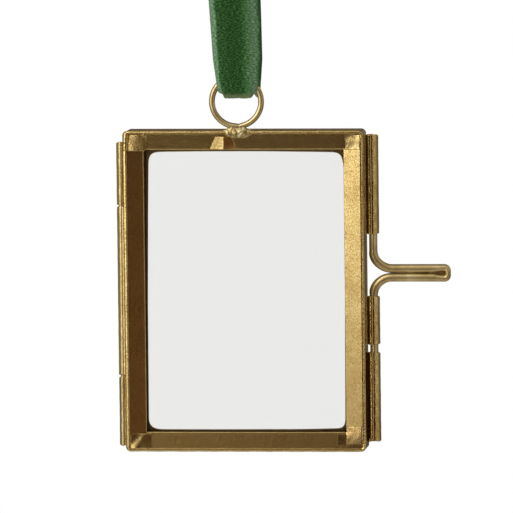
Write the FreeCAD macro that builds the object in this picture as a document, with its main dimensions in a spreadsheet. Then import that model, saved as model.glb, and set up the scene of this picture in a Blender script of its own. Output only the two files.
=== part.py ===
import FreeCAD, Part
import math
import os
import Sketcher

# A small hanging picture frame: two glazed brass leaves, hinged on the left like
# a book, locked on the right by a bent wire pin, and hung by a velvet ribbon.
# The origin is the top of the ribbon loop, where it is hung. +X right, +Y back.

# driving dimensions, in millimetres and degrees
driving = {
    # leaves, each folded from one strip of sheet
    "leaf_width": 60.0,
    "leaf_height": 80.0,
    "leaf_depth": 4.1,
    "parting_gap": 0.1,
    "strip_thick": 0.45,
    "bead_dia": 0.85,
    "corner_radius": 1.2,
    "bend_radius": 0.5,
    "side_flange": 5.0,
    "end_flange": 4.75,
    "flange_step": 0.35,
    "flange_fall": 0.8,
    "lip_round": 0.22,
    "flange_bite": 0.34,
    "keeper_bite": 0.135,
    "lap_rise": 0.3,
    "keeper_flange": 2.5,
    "nub_dia": 1.3,
    "nub_sink": 0.065,
    "nub_inset": 0.04,
    # panes
    "glass_thick": 1.85,
    "glass_seat": 0.05,
    "pane_clear": 0.25,
    # corners of the back window, where solder has run
    "solder_web": 2.1,
    "solder_web_small": 0.8,
    "solder_tongue_width": 1.7,
    "solder_tongue_length": 7.5,
    "solder_hollow": 0.3,
    # hinge
    "hinge_pin_dia": 1.3,
    "hinge_clear": 0.03,
    "knuckle_sheet": 0.42,
    "knuckle_start": 1.0,
    "knuckle_gap": 0.4,
    "knuckle_low_length": 17.3,
    "knuckle_mid_length": 42.2,
    "knuckle_top_length": 15.7,
    "knuckle_sweep": 298.0,
    "hinge_tab_reach": 3.2,
    "hinge_tab_taper": 4.2,
    "pin_chamfer": 0.2,
    # latch barrels
    "latch_wire": 2.06,
    "latch_clear": 0.05,
    "barrel_sheet": 0.45,
    "barrel_low_start": 2.0,
    "barrel_low_length": 22.5,
    "barrel_gap": 1.9,
    "barrel_short_length": 12.1,
    "handle_window": 15.5,
    "barrel_up_length": 24.8,
    "seam_angle": 12.0,
    "seam_angle_low": 22.0,
    "seam_turn": 12.0,
    "latch_tab_thick": 0.4,
    "latch_tab_reach": 3.0,
    "braze_reach": 1.1,
    # latch pin, one bent wire
    "pin_rest_gap": 0.1,
    "arm_gap": 0.14,
    "low_bend": 4.7,
    "up_bend": 4.5,
    "handle_reach": 19.3,
    "low_leg": 17.2,
    "up_leg": 17.5,
    # hanging ring
    "ring_dia": 13.8,
    "ring_wire": 1.5,
    "ring_left": 1.75,
    "ring_front": 2.9,
    "ring_seat": 0.35,
    "ring_mouth_angle": 13.0,
    "ring_mouth_gap": 0.1,
    "ring_mouth_drop": 0.25,
    "solder_width": 7.0,
    "solder_height": 3.7,
    "solder_depth": 2.5,
    # ribbon
    "hang_rise": 105.0,
    "ribbon_lean": 2.4,
    "ribbon_width": 12.7,
    "ribbon_thick": 0.9,
    "ribbon_clear": 0.2,
    "fold_rise": 0.75,
    "fold_width": 8.8,
    "squeeze_ease": 1.0,
    "squeeze_start": 2.4,
    "squeeze_end": 7.0,
    "ribbon_spread": 20.0,
    "loop_top_radius": 3.2,
    "sewn_lap": 10.0,
    "sewn_lap_rise": 62.0,
}

doc = FreeCAD.newDocument("hanging_frame")
sheet = doc.addObject("Spreadsheet::Sheet", "dims")
for row, (alias, amount) in enumerate(driving.items(), start=1):
    sheet.set("A%d" % row, alias)
    sheet.set("B%d" % row, str(amount))
    sheet.setAlias("B%d" % row, alias)
doc.recompute()

vector = FreeCAD.Vector
zAxis = vector(0, 0, 1)
parts = []


def size(alias):
    return float(sheet.get(alias))


# places that several pieces share, as formulas over the sheet
bead = "dims.bead_dia / 2"
faceY = "-(dims.parting_gap / 2 + dims.leaf_depth)"
keeperY = "(dims.parting_gap / 2 + dims.strip_thick)"
knuckleIn = "(dims.hinge_pin_dia / 2 + dims.hinge_clear)"
knuckleOut = "(dims.hinge_pin_dia / 2 + dims.hinge_clear + dims.knuckle_sheet)"
barrelIn = "(dims.latch_wire / 2 + dims.latch_clear)"
barrelOut = "(dims.latch_wire / 2 + dims.latch_clear + dims.barrel_sheet)"
hingeX = "-(dims.leaf_width / 2 + %s)" % knuckleOut
latchX = "(dims.leaf_width / 2 + dims.latch_tab_thick + %s)" % barrelOut
kneeZ = "(dims.barrel_low_start + dims.barrel_low_length + dims.barrel_gap + dims.barrel_short_length)"
armSpacing = "(dims.latch_wire + dims.arm_gap)"
ringRadius = "(dims.ring_dia - dims.ring_wire) / 2"

# the leaves' lower middle, seen from the hanging point
leafX = "(dims.ring_left + dims.hang_rise * sin(dims.ribbon_lean))"
leafY = "dims.ring_front"
ringDrop = "dims.hang_rise * cos(dims.ribbon_lean)"
leafZ = "(-%s - dims.leaf_height - dims.ring_seat - dims.ring_dia / 2)" % ringDrop


def add(kind, name, expressions):
    """A document object with its properties bound to the sheet."""
    item = doc.addObject(kind, name)
    for path, text in expressions.items():
        item.setExpression(path, text)
    return item


def seat(item, label, x, y, z):
    """Puts a finished sub-part at a place given from the leaves' lower middle."""
    item.Label = label
    item.setExpression("Placement.Base.x", "%s + %s" % (leafX, x))
    item.setExpression("Placement.Base.y", "%s + %s" % (leafY, y))
    item.setExpression("Placement.Base.z", "%s + %s" % (leafZ, z))
    parts.append(item)
    return item


def turnAbout(item, axis, degrees):
    item.Placement = FreeCAD.Placement(vector(0, 0, 0), FreeCAD.Rotation(axis, degrees))


def originPlane(body, role):
    return [feature for feature in body.Origin.OriginFeatures if feature.Role == role][0]


def number(item, text):
    """The present value of a formula over the sheet."""
    found = item.evalExpression(text)
    return float(getattr(found, "Value", found))


def outlineSketch(body, name, role, loops, forward="0"):
    """A sketch of closed polygons whose corners are formulas over the sheet."""
    sketch = body.newObject("Sketcher::SketchObject", name)
    sketch.AttachmentSupport = [(originPlane(body, role), "")]
    sketch.MapMode = "FlatFace"
    sketch.setExpression("AttachmentOffset.Base.z", forward)
    for corners in loops:
        points = [vector(number(body, x), number(body, y), 0) for x, y in corners]
        first = sketch.GeometryCount
        for index, point in enumerate(points):
            sketch.addGeometry(Part.LineSegment(point, points[(index + 1) % len(points)]))
        for index, (x, y) in enumerate(corners):
            line = first + index
            after = first + (index + 1) % len(corners)
            sketch.addConstraint(Sketcher.Constraint("Coincident", line, 2, after, 1))
            bindPoint(sketch, line, 1, points[index], x, y)
    return sketch


def bindPoint(sketch, edge, end, point, x=None, y=None):
    """Holds one sketch point at formulas for its x and y, from the sketch's origin."""
    for kind, now, text in (("DistanceX", point.x, x), ("DistanceY", point.y, y)):
        if text is not None:
            held = sketch.addConstraint(Sketcher.Constraint(kind, -1, 1, edge, end, now))
            sketch.setExpression("Constraints[%d]" % held, text)


def chainSketch(body, name, role, start, steps, closed=False):
    """A path of lines and arcs. A step has its end, and for an arc its centre.

    long marks an arc that goes the longer way round.
    """
    sketch = body.newObject("Sketcher::SketchObject", name)
    sketch.AttachmentSupport = [(originPlane(body, role), "")]
    sketch.MapMode = "FlatFace"
    corners = [start] + [step["to"] for step in steps]
    points = [vector(number(body, x), number(body, y), 0) for x, y in corners]
    ends = []
    for index, step in enumerate(steps):
        before, end = points[index], points[index + 1]
        if "centre" in step:
            x, y = step["centre"]
            centre = vector(number(body, x), number(body, y), 0)
            reach = (before + end) * 0.5 - centre
            if reach.Length < 0.01 * (end - centre).Length:
                reach = vector(end.y - before.y, before.x - end.x, 0)
            if step.get("long"):
                reach = -reach
            middle = centre + reach.normalize() * (end - centre).Length
            sketch.addGeometry(Part.Arc(before, middle, end))
            upright = abs(end.y - before.y) > abs(end.x - before.x)
        else:
            sketch.addGeometry(Part.LineSegment(before, end))
        # an arc is kept anticlockwise, so its first end may be the step's last
        ends.append((1, 2) if sketch.getPoint(index, 1).isEqual(before, 1e-6) else (2, 1))
        if index:
            sketch.addConstraint(Sketcher.Constraint("Coincident", index - 1, ends[-2][1], index, ends[-1][0]))
        bindPoint(sketch, index, ends[-1][0], before, *corners[index])
        if "centre" in step:
            bindPoint(sketch, index, 3, centre, *((x, None) if upright else (None, y)))
    last = len(steps) - 1
    if closed:
        sketch.addConstraint(Sketcher.Constraint("Coincident", last, ends[-1][1], 0, ends[0][0]))
    else:
        bindPoint(sketch, last, ends[-1][1], points[-1], *corners[-1])
    return sketch


def pad(body, sketch, name, length):
    feature = body.newObject("PartDesign::Pad", name)
    feature.Profile = sketch
    feature.setExpression("Length", length)
    body.Tip = feature
    return feature


# One leaf frame. Its front faces -Y and its back lies at the parting plane.
# The rim is the strip's side wall, with a rolled bead in front and the keeper
# flange behind; the bevelled front flanges are joined to it afterwards.

def rimBody(name):
    body = doc.addObject("PartDesign::Body", name + "_rim")
    half = "dims.leaf_width / 2"
    high = "dims.leaf_height"
    turn = "dims.corner_radius"
    right = half + " - " + turn
    left = "-(%s)" % right
    top = high + " - " + turn
    steps = [
        {"to": (right, "0")},
        {"to": (half, turn), "centre": (right, turn)},
        {"to": (half, top)},
        {"to": (right, high), "centre": (right, top)},
        {"to": (left, high)},
        {"to": ("-" + half, top), "centre": (left, top)},
        {"to": ("-" + half, turn)},
        {"to": (left, "0"), "centre": (left, turn)},
        {"to": ("0", "0")},
    ]
    path = chainSketch(body, name + "_path", "XZ_Plane", ("0", "0"), steps, closed=True)
    # the section, across the bottom wall: bead, wall, bend, stub of the keeper
    wall = "dims.strip_thick"
    back = "-dims.parting_gap / 2"
    beadY = "%s + %s" % (faceY, bead)
    inner = "(dims.strip_thick - %s)" % bead
    bendY = back + " - dims.bend_radius"
    crest = "%s + sqrt((%s)^2 - %s^2)" % (beadY, bead, inner)
    profile = chainSketch(body, name + "_section", "YZ_Plane", (beadY, "0"), [
        {"to": (bendY, "0")},
        {"to": (back, "dims.bend_radius"), "centre": (bendY, "dims.bend_radius")},
        {"to": (back, "dims.bead_dia")},
        {"to": (back + " - " + wall, "dims.bead_dia")},
        {"to": (back + " - " + wall, wall)},
        {"to": (crest, wall)},
        {"to": (beadY, "0"), "centre": (beadY, bead), "long": True},
    ], closed=True)
    doc.recompute()
    pipe = body.newObject("PartDesign::AdditivePipe", name + "_wall")
    pipe.Profile = profile
    pipe.Spine = (path, ["Edge%d" % (index + 1) for index in range(len(steps))])
    body.Tip = pipe
    lap = "dims.bead_dia - dims.keeper_bite"
    keeper = outlineSketch(body, name + "_keeper_outline", "XZ_Plane", [
        rectangle("-(%s - (%s))" % (half, lap), "%s - (%s)" % (half, lap), lap, "%s - (%s)" % (high, lap)),
        rectangle("-(%s - dims.keeper_flange)" % half, half + " - dims.keeper_flange",
                  "dims.keeper_flange", high + " - dims.keeper_flange"),
    ], forward="dims.parting_gap / 2")
    pad(body, keeper, name + "_keeper", "dims.strip_thick")
    return body


def rectangle(left, right, low, high):
    return [(left, low), (right, low), (right, high), (left, high)]


def flangeShape(laps, webs):
    """The four bevelled front flanges of a leaf, with their lapped corners.

    A corner is a ruled surface from the end of the flange that laps to the rim,
    where that flange has risen over the one beneath. laps says which flange laps
    at each corner, and webs gives the solder that fills a corner of the window.
    """
    half = size("leaf_width") / 2
    high = size("leaf_height")
    thick = size("strip_thick")
    root = size("bead_dia") - size("flange_bite")
    front = -(size("parting_gap") / 2 + size("leaf_depth"))
    start = front + size("flange_step")
    inner = start + size("flange_fall")
    lipEnd = -(size("parting_gap") / 2 + thick + size("glass_thick") + 2 * size("glass_seat"))
    side = size("side_flange")
    end = size("end_flange")
    roundness = size("lip_round")
    solids = []

    def section(reach):
        """Corners of a flange's section: distance in from the outline, and y."""
        tip = vector(reach, inner, 0)
        slope = vector(root - reach, start - inner, 0).normalize()
        down = vector(0, 1, 0)
        bendOne = tip + slope * roundness
        bendTwo = tip + down * roundness
        halfTurn = slope.getAngle(down) / 2
        # the arc is tangent to the flange and to the lip
        bendMid = tip + (slope + down).normalize() * roundness * (1 - math.sin(halfTurn)) / math.cos(halfTurn)
        underLip = start + (inner - start) * (reach - thick - root) / (reach - root) + thick
        return [vector(root, start, 0), bendOne, bendMid, bendTwo, vector(reach, lipEnd, 0),
                vector(reach - thick, lipEnd, 0), vector(reach - thick, underLip, 0),
                vector(root, start + thick, 0)]

    def bar(reach, place, run):
        points = [place(point.x, point.y) for point in section(reach)]
        edges = [Part.LineSegment(points[0], points[1]).toShape()]
        edges.append(Part.Arc(points[1], points[2], points[3]).toShape())
        for index in range(3, len(points)):
            edges.append(Part.LineSegment(points[index], points[(index + 1) % len(points)]).toShape())
        solids.append(Part.Face(Part.Wire(edges)).extrude(run))

    across = vector(2 * (half - side + thick), 0, 0)
    upward = vector(0, 0, high - 2 * (end - thick))
    bar(end, lambda u, y: vector(-half + side - thick, y, u), across)
    bar(end, lambda u, y: vector(-half + side - thick, y, high - u), across)
    bar(side, lambda u, y: vector(-half + u, y, end - thick), upward)
    bar(side, lambda u, y: vector(half - u, y, end - thick), upward)

    for corner, lapping in laps.items():
        sx = -1 if corner.endswith("left") else 1
        low = corner.startswith("low")

        def place(u, v, y):
            return vector(sx * (half - u), y, v if low else high - v)

        risen = start - size("lap_rise")
        if lapping == "end":
            own = Part.LineSegment(place(side, root, start), place(side, end, inner)).toShape()
            over = Part.LineSegment(place(root, root, start), place(root, end, risen)).toShape()
        else:
            own = Part.LineSegment(place(root, end, start), place(side, end, inner)).toShape()
            over = Part.LineSegment(place(root, root, start), place(side, root, risen)).toShape()
        solids.append(Part.makeRuledSurface(own, over).extrude(vector(0, thick, 0)))
        if corner in webs:
            wide, tall = webs[corner]
            level = inner + roundness
            bite = thick / 2
            along = place(side + wide, end, level)
            down = place(side, end + tall, level)
            middle = (along + down) * 0.5
            hollow = middle + (place(side, end, level) - middle) * size("solder_hollow")
            outer = [down, place(side - bite, end + tall, level), place(side - bite, end - bite, level),
                     place(side + wide, end - bite, level), along]
            edges = [Part.LineSegment(a, b).toShape() for a, b in zip(outer, outer[1:])]
            edges.append(Part.Arc(along, hollow, down).toShape())
            solids.append(Part.Face(Part.Wire(edges)).extrude(vector(0, lipEnd - level, 0)))
    return solids[0].multiFuse(solids[1:])


def leafFrame(label, laps, webs, nub):
    rim = rimBody(label)
    flanges = doc.addObject("Part::Feature", label + "_flanges")
    flanges.Shape = flangeShape(laps, webs)
    pieces = [rim, flanges]
    if nub:
        # the end of the top flange, rolled over the left rim
        radius = "dims.nub_dia / 2"
        roll = add("Part::Cylinder", label + "_nub", {
            "Radius": radius,
            "Height": "dims.end_flange - dims.nub_dia / 2 - dims.nub_inset",
            "Placement.Base.x": "-dims.leaf_width / 2 + dims.nub_inset + " + radius,
            "Placement.Base.y": "%s + %s - dims.nub_sink" % (faceY, radius),
            "Placement.Base.z": "dims.leaf_height - dims.end_flange",
        })
        cap = add("Part::Sphere", label + "_nub_end", {
            "Radius": radius,
            "Placement.Base.x": "-dims.leaf_width / 2 + dims.nub_inset + " + radius,
            "Placement.Base.y": "%s + %s - dims.nub_sink" % (faceY, radius),
            "Placement.Base.z": "dims.leaf_height - dims.nub_inset - " + radius,
        })
        pieces += [roll, cap]
    frame = doc.addObject("Part::MultiFuse", label)
    frame.Shapes = pieces
    return frame


def pane(label):
    """A glass pane with its corners nipped off, between the lips and the keeper flange."""
    body = doc.addObject("PartDesign::Body", label)
    x = "(dims.leaf_width / 2 - dims.strip_thick - dims.pane_clear)"
    low = "(dims.strip_thick + dims.pane_clear)"
    high = "(dims.leaf_height - dims.strip_thick - dims.pane_clear)"
    nip = "dims.corner_radius / 2"
    outline = [
        ("-%s + %s" % (x, nip), low), ("%s - %s" % (x, nip), low),
        (x, "%s + %s" % (low, nip)), (x, "%s - %s" % (high, nip)),
        ("%s - %s" % (x, nip), high), ("-%s + %s" % (x, nip), high),
        ("-" + x, "%s - %s" % (high, nip)), ("-" + x, "%s + %s" % (low, nip)),
    ]
    sketch = outlineSketch(body, label + "_outline", "XZ_Plane", [outline],
                           forward="%s + dims.glass_seat" % keeperY)
    pad(body, sketch, label + "_pad", "dims.glass_thick")
    return body


# Hinge knuckle: sheet rolled round the pin, and a tapered tab on its leaf's wall.
# side is -1 where the tab lies on the front leaf and 1 on the back leaf.

def knuckle(label, length, side, z):
    roll = add("Part::Cylinder", label + "_roll", {
        "Radius": knuckleOut,
        "Height": length,
        "Angle": "dims.knuckle_sweep",
    })
    if side > 0:
        roll.setExpression("Placement.Rotation.Angle", "-dims.knuckle_sweep")
    tab = add("Part::Wedge", label + "_tab", {
        "Xmax": "dims.knuckle_sheet",
        "X2max": "dims.knuckle_sheet",
        "Ymax": "dims.hinge_tab_reach",
        "Zmax": length,
        "Z2min": "dims.hinge_tab_taper",
        "Z2max": "%s - dims.hinge_tab_taper" % length,
        "Placement.Base.x": knuckleIn if side > 0 else knuckleOut,
    })
    tab.Xmin = 0
    tab.X2min = 0
    tab.Ymin = 0
    tab.Zmin = 0
    if side < 0:
        tab.Placement = FreeCAD.Placement(tab.Placement.Base, FreeCAD.Rotation(zAxis, 180))
    sheetWork = doc.addObject("Part::MultiFuse", label + "_sheet")
    sheetWork.Shapes = [roll, tab]
    bore = add("Part::Cylinder", label + "_bore", {"Radius": knuckleIn, "Height": length})
    finished = doc.addObject("Part::Cut", label)
    finished.Base = sheetWork
    finished.Tool = bore
    return seat(finished, label, hingeX, "0", z)


# Latch barrel: sheet rolled to a tube with an open seam in front, brazed to a
# tab that lies on its leaf's wall. turn moves the seam from the very front.

def barrel(label, length, side, z, seam, turn):
    tube = add("Part::Cylinder", label + "_tube", {
        "Radius": barrelOut,
        "Height": length,
        "Angle": "360 - " + seam,
        "Placement.Rotation.Angle": "-90 + %s / 2 - %s" % (seam, turn),
    })
    tab = add("Part::Box", label + "_tab", {
        "Length": "dims.latch_tab_thick",
        "Width": "dims.latch_tab_reach",
        "Height": length,
        "Placement.Base.x": "-%s - dims.latch_tab_thick" % barrelOut,
        "Placement.Base.y": "dims.parting_gap" if side > 0 else "-dims.parting_gap - dims.latch_tab_reach",
    })
    braze = add("Part::Box", label + "_braze", {
        "Length": "%s - sqrt(%s^2 - dims.braze_reach^2)" % (barrelOut, barrelOut),
        "Width": "dims.braze_reach - dims.parting_gap",
        "Height": length,
        "Placement.Base.x": "-" + barrelOut,
        "Placement.Base.y": "dims.parting_gap" if side > 0 else "-dims.braze_reach",
    })
    sheetWork = doc.addObject("Part::MultiFuse", label + "_sheet")
    sheetWork.Shapes = [tube, tab, braze]
    bore = add("Part::Cylinder", label + "_bore", {"Radius": barrelIn, "Height": length})
    finished = doc.addObject("Part::Cut", label)
    finished.Base = sheetWork
    finished.Tool = bore
    return seat(finished, label, latchX, "0", z)


def hingePin(label, z):
    body = doc.addObject("PartDesign::Body", label)
    sketch = body.newObject("Sketcher::SketchObject", label + "_circle")
    sketch.AttachmentSupport = [(originPlane(body, "XY_Plane"), "")]
    sketch.MapMode = "FlatFace"
    roundSection(sketch, "dims.hinge_pin_dia / 2")
    length = "dims.knuckle_low_length + dims.knuckle_mid_length + dims.knuckle_top_length + 2 * dims.knuckle_gap"
    rod = pad(body, sketch, label + "_pad", length)
    doc.recompute()
    ends = [index + 1 for index, edge in enumerate(rod.Shape.Edges) if edge.Closed]
    chamfer = body.newObject("PartDesign::Chamfer", label + "_ends")
    chamfer.Base = (rod, ["Edge%d" % index for index in ends])
    chamfer.setExpression("Size", "dims.pin_chamfer")
    body.Tip = chamfer
    return seat(body, label, hingeX, "0", z)


def roundSection(sketch, radius):
    start = number(sketch, radius)
    sketch.addGeometry(Part.Circle(vector(0, 0, 0), zAxis, start))
    sketch.addConstraint(Sketcher.Constraint("Coincident", 0, 3, -1, 1))
    bound = sketch.addConstraint(Sketcher.Constraint("Radius", 0, start))
    sketch.setExpression("Constraints[%d]" % bound, radius)


def bentWire(label, start, steps, radius):
    """A round wire along a path in the XZ plane."""
    body = doc.addObject("PartDesign::Body", label)
    path = chainSketch(body, label + "_path", "XZ_Plane", start, steps)
    doc.recompute()
    section = body.newObject("Sketcher::SketchObject", label + "_section")
    section.AttachmentSupport = [(path, "Edge1")]
    section.MapMode = "NormalToEdge"
    section.MapPathParameter = 0.0
    roundSection(section, radius)
    doc.recompute()
    pipe = body.newObject("PartDesign::AdditivePipe", label + "_wire")
    pipe.Profile = section
    pipe.Spine = (path, ["Edge%d" % (index + 1) for index in range(len(steps))])
    body.Tip = pipe
    return body


def latchPin(label):
    """From the lower leg's foot, up, out along the handle, back, and up again.

    Local height 0 is where the lower leg becomes straight, just above the short
    barrel that the pin rests on.
    """
    low = "dims.low_bend"
    high = "%s + %s" % (low, armSpacing)
    tip = "dims.handle_reach - %s / 2 - dims.latch_wire / 2" % armSpacing
    steps = [
        {"to": ("0", "0")},
        {"to": (low, low), "centre": (low, "0")},
        {"to": (tip, low)},
        {"to": (tip, high), "centre": (tip, "%s + %s / 2" % (low, armSpacing))},
        {"to": ("dims.up_bend", high)},
        {"to": ("0", high + " + dims.up_bend"), "centre": ("dims.up_bend", high + " + dims.up_bend")},
        {"to": ("0", high + " + dims.up_bend + dims.up_leg")},
    ]
    body = bentWire(label, ("0", "-dims.low_leg"), steps, "dims.latch_wire / 2")
    return seat(body, label, latchX, "0", "%s + dims.pin_rest_gap" % kneeZ)


def hangingRing(label):
    """A ring bent from wire, whose ends dip and meet at the bottom."""
    mouth = "dims.ring_mouth_angle"
    x = "%s * sin(%s)" % (ringRadius, mouth)
    z = "-%s * cos(%s)" % (ringRadius, mouth)
    low = "-%s - dims.ring_mouth_drop" % ringRadius
    steps = [
        {"to": (x, z)},
        {"to": ("-" + x, z), "centre": ("0", "0"), "long": True},
        {"to": ("-dims.ring_mouth_gap / 2", low)},
    ]
    body = bentWire(label, ("dims.ring_mouth_gap / 2", low), steps, "dims.ring_wire / 2")
    return seat(body, label, "-dims.ring_left", "-dims.ring_front",
                "dims.leaf_height + dims.ring_seat + dims.ring_dia / 2")


def ringSolder(label, ring, frame):
    """A flattened lump of solder round the ring's foot, over the rim of the front leaf."""
    rimY = "%s + %s + dims.bead_dia" % (leafY, faceY)
    lump = add("Part::Ellipsoid", label + "_lump", {
        "Radius1": "dims.solder_height / 2",
        "Radius2": "dims.solder_width / 2",
        "Radius3": "dims.solder_depth / 2",
        "Placement.Base.x": "%s - dims.ring_left" % leafX,
        "Placement.Base.y": rimY,
        "Placement.Base.z": "%s + dims.leaf_height" % leafZ,
    })
    channel = add("Part::Box", label + "_channel", {
        "Length": "2 * dims.solder_width",
        "Width": "dims.solder_depth",
        "Height": "dims.solder_height",
        "Placement.Base.x": "%s - dims.ring_left - dims.solder_width" % leafX,
        "Placement.Base.y": rimY + " - dims.strip_thick / 2",
        "Placement.Base.z": "%s + dims.leaf_height - dims.strip_thick / 2 - dims.solder_height" % leafZ,
    })
    rest = lump
    for tool in (channel, frame, ring):
        cut = doc.addObject("Part::Cut", "%s_clear_of_%s" % (label, tool.Name))
        cut.Base = rest
        cut.Tool = tool
        rest = cut
    rest.Label = label
    parts.append(rest)
    return rest


def ribbonShape():
    """A closed loop of ribbon, from its fold in the ring to its top, before it leans.

    The loop's side view is two round ends joined by straight plies, and its front
    view narrows to where the ring squeezes it. Local z = 0 is the ring's centre.
    """
    thick = size("ribbon_thick")
    wide = size("ribbon_width")
    foldIn = size("ring_wire") / 2 + size("ribbon_clear")
    topIn = size("loop_top_radius")
    foldZ = size("fold_rise") + thick + foldIn
    topZ = size("hang_rise") - topIn
    lean = math.asin((topIn - foldIn) / (topZ - foldZ))
    normal = vector(0, math.cos(lean), -math.sin(lean))

    def loop(extra):
        low = foldIn + extra
        high = topIn + extra
        lowZ = vector(0, 0, foldZ)
        highZ = vector(0, 0, topZ)
        mirrored = vector(0, -normal.y, normal.z)
        right = [lowZ + normal * low, highZ + normal * high]
        left = [lowZ + mirrored * low, highZ + mirrored * high]
        return Part.Wire([
            Part.LineSegment(right[0], right[1]).toShape(),
            Part.Arc(right[1], highZ + vector(0, 0, high), left[1]).toShape(),
            Part.LineSegment(left[1], left[0]).toShape(),
            Part.Arc(left[0], lowZ - vector(0, 0, low), right[0]).toShape(),
        ])

    aside = vector(-wide / 2, 0, 0)
    through = vector(wide, 0, 0)
    band = Part.Face(loop(thick)).extrude(through).cut(Part.Face(loop(0)).extrude(through))
    # the sewn lap, where one end lies on the other on the back ply
    along = vector(0, math.sin(lean), math.cos(lean))
    foot = vector(0, 0, foldZ) + normal * (foldIn + thick) + along * size("sewn_lap_rise")
    lap = [foot, foot + along * size("sewn_lap")]
    lap += [lap[1] + normal * thick, lap[0] + normal * thick]
    band = band.fuse(Part.Face(Part.makePolygon(lap + [lap[0]])).extrude(through))
    band.translate(aside)
    # the front view
    neck = size("fold_width") / 2
    spread = size("ribbon_spread")
    topEnd = size("hang_rise") + 2 * thick
    edges = []
    for side in (1, -1):
        bulge = Part.BezierCurve()
        bulge.setPoles([vector(side * neck, 0, foldZ),
                        vector(side * (neck + size("squeeze_ease")), 0, foldZ + size("squeeze_start")),
                        vector(side * wide / 2, 0, foldZ + size("squeeze_end")),
                        vector(side * wide / 2, 0, spread)])
        edges.append(Part.LineSegment(vector(side * neck, 0, 0), vector(side * neck, 0, foldZ)).toShape())
        edges.append(bulge.toShape())
        edges.append(Part.LineSegment(vector(side * wide / 2, 0, spread),
                                      vector(side * wide / 2, 0, topEnd)).toShape())
    edges.append(Part.LineSegment(vector(-neck, 0, 0), vector(neck, 0, 0)).toShape())
    edges.append(Part.LineSegment(vector(-wide / 2, 0, topEnd), vector(wide / 2, 0, topEnd)).toShape())
    view = Part.Face(Part.Wire(Part.sortEdges(edges)[0]))
    depth = 2 * (topIn + 2 * thick)
    view.translate(vector(0, -depth / 2, 0))
    return band.common(view.extrude(vector(0, depth, 0)))


# assembly, in the closed position

frontLaps = {"top_left": "end", "top_right": "end", "low_left": "end", "low_right": "side"}
backLaps = {"top_left": "side", "top_right": "end", "low_left": "end", "low_right": "end"}
backWebs = {
    "low_right": (size("solder_web"), size("solder_web")),
    "top_right": (size("solder_web_small"), size("solder_web_small")),
    "low_left": (size("solder_web_small"), size("solder_web_small")),
    "top_left": (size("solder_tongue_width"), size("solder_tongue_length")),
}

frontFrame = leafFrame("front_frame", frontLaps, {}, True)
seat(frontFrame, "front_frame", "0", "0", "0")
backFrame = leafFrame("back_frame", backLaps, backWebs, False)
turnAbout(backFrame, zAxis, 180)
seat(backFrame, "back_frame", "0", "0", "0")

frontGlass = pane("front_glass")
seat(frontGlass, "front_glass", "0", "0", "0")
backGlass = pane("back_glass")
turnAbout(backGlass, zAxis, 180)
seat(backGlass, "back_glass", "0", "0", "0")

lowKnuckleZ = "dims.knuckle_start"
midKnuckleZ = lowKnuckleZ + " + dims.knuckle_low_length + dims.knuckle_gap"
topKnuckleZ = midKnuckleZ + " + dims.knuckle_mid_length + dims.knuckle_gap"
knuckle("hinge_knuckle_bottom", "dims.knuckle_low_length", 1, lowKnuckleZ)
knuckle("hinge_knuckle_middle", "dims.knuckle_mid_length", -1, midKnuckleZ)
knuckle("hinge_knuckle_top", "dims.knuckle_top_length", 1, topKnuckleZ)
hingePin("hinge_pin", lowKnuckleZ)

shortBarrelZ = "dims.barrel_low_start + dims.barrel_low_length + dims.barrel_gap"
barrel("latch_barrel_lower", "dims.barrel_low_length", 1, "dims.barrel_low_start",
       "dims.seam_angle_low", "0")
barrel("latch_barrel_short", "dims.barrel_short_length", -1, shortBarrelZ,
       "dims.seam_angle", "dims.seam_turn")
barrel("latch_barrel_upper", "dims.barrel_up_length", -1, kneeZ + " + dims.handle_window",
       "dims.seam_angle", "dims.seam_turn")
latchPin("latch_pin")

ring = hangingRing("hanging_ring")
doc.recompute()
ringSolder("ring_solder", ring, frontFrame)

ribbon = doc.addObject("Part::Feature", "ribbon")
ribbon.Shape = ribbonShape()
leanNow = size("ribbon_lean")
ribbon.Placement = FreeCAD.Placement(vector(number(sheet, leafX) - size("ring_left"), 0, -number(sheet, ringDrop)),
                                     FreeCAD.Rotation(vector(0, 1, 0), -leanNow))
ribbon.Label = "ribbon"
parts.append(ribbon)

doc.recompute()

for item in doc.Objects:
    if "Invalid" in item.State or "Error" in item.State:
        raise RuntimeError("%s did not build: %s" % (item.Name, item.State))
for part in parts:
    if part.Shape.isNull() or not part.Shape.isValid():
        raise RuntimeError("%s has no valid shape" % part.Label)

os.makedirs("parts", exist_ok=True)
for part in parts:
    part.Shape.exportStep("parts/%s.step" % part.Label)
    box = part.Shape.BoundBox
    print("%-22s solids %d  volume %8.2f  x %.2f..%.2f  y %.2f..%.2f  z %.2f..%.2f" % (
        part.Label, len(part.Shape.Solids), part.Shape.Volume,
        box.XMin, box.XMax, box.YMin, box.YMax, box.ZMin, box.ZMax))
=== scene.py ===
# Looks for a small hanging picture frame: aged brass, clear glass, green velvet.
import bpy
import numpy as np
from mathutils import Matrix, Vector


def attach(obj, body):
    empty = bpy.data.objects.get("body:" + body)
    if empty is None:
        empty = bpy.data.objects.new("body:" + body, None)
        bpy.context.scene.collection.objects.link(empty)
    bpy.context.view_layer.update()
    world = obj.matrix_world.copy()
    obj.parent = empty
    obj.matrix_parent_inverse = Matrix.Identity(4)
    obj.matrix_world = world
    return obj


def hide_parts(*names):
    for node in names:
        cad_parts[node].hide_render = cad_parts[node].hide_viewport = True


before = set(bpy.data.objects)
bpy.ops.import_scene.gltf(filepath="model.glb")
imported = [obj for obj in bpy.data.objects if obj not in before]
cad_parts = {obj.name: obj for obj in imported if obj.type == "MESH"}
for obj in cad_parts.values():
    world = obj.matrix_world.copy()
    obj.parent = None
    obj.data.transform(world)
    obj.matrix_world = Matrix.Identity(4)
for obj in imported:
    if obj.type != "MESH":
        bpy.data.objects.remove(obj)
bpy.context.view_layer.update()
print("frame loaded:", len(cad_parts), "nodes")
mm = 0.001


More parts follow.
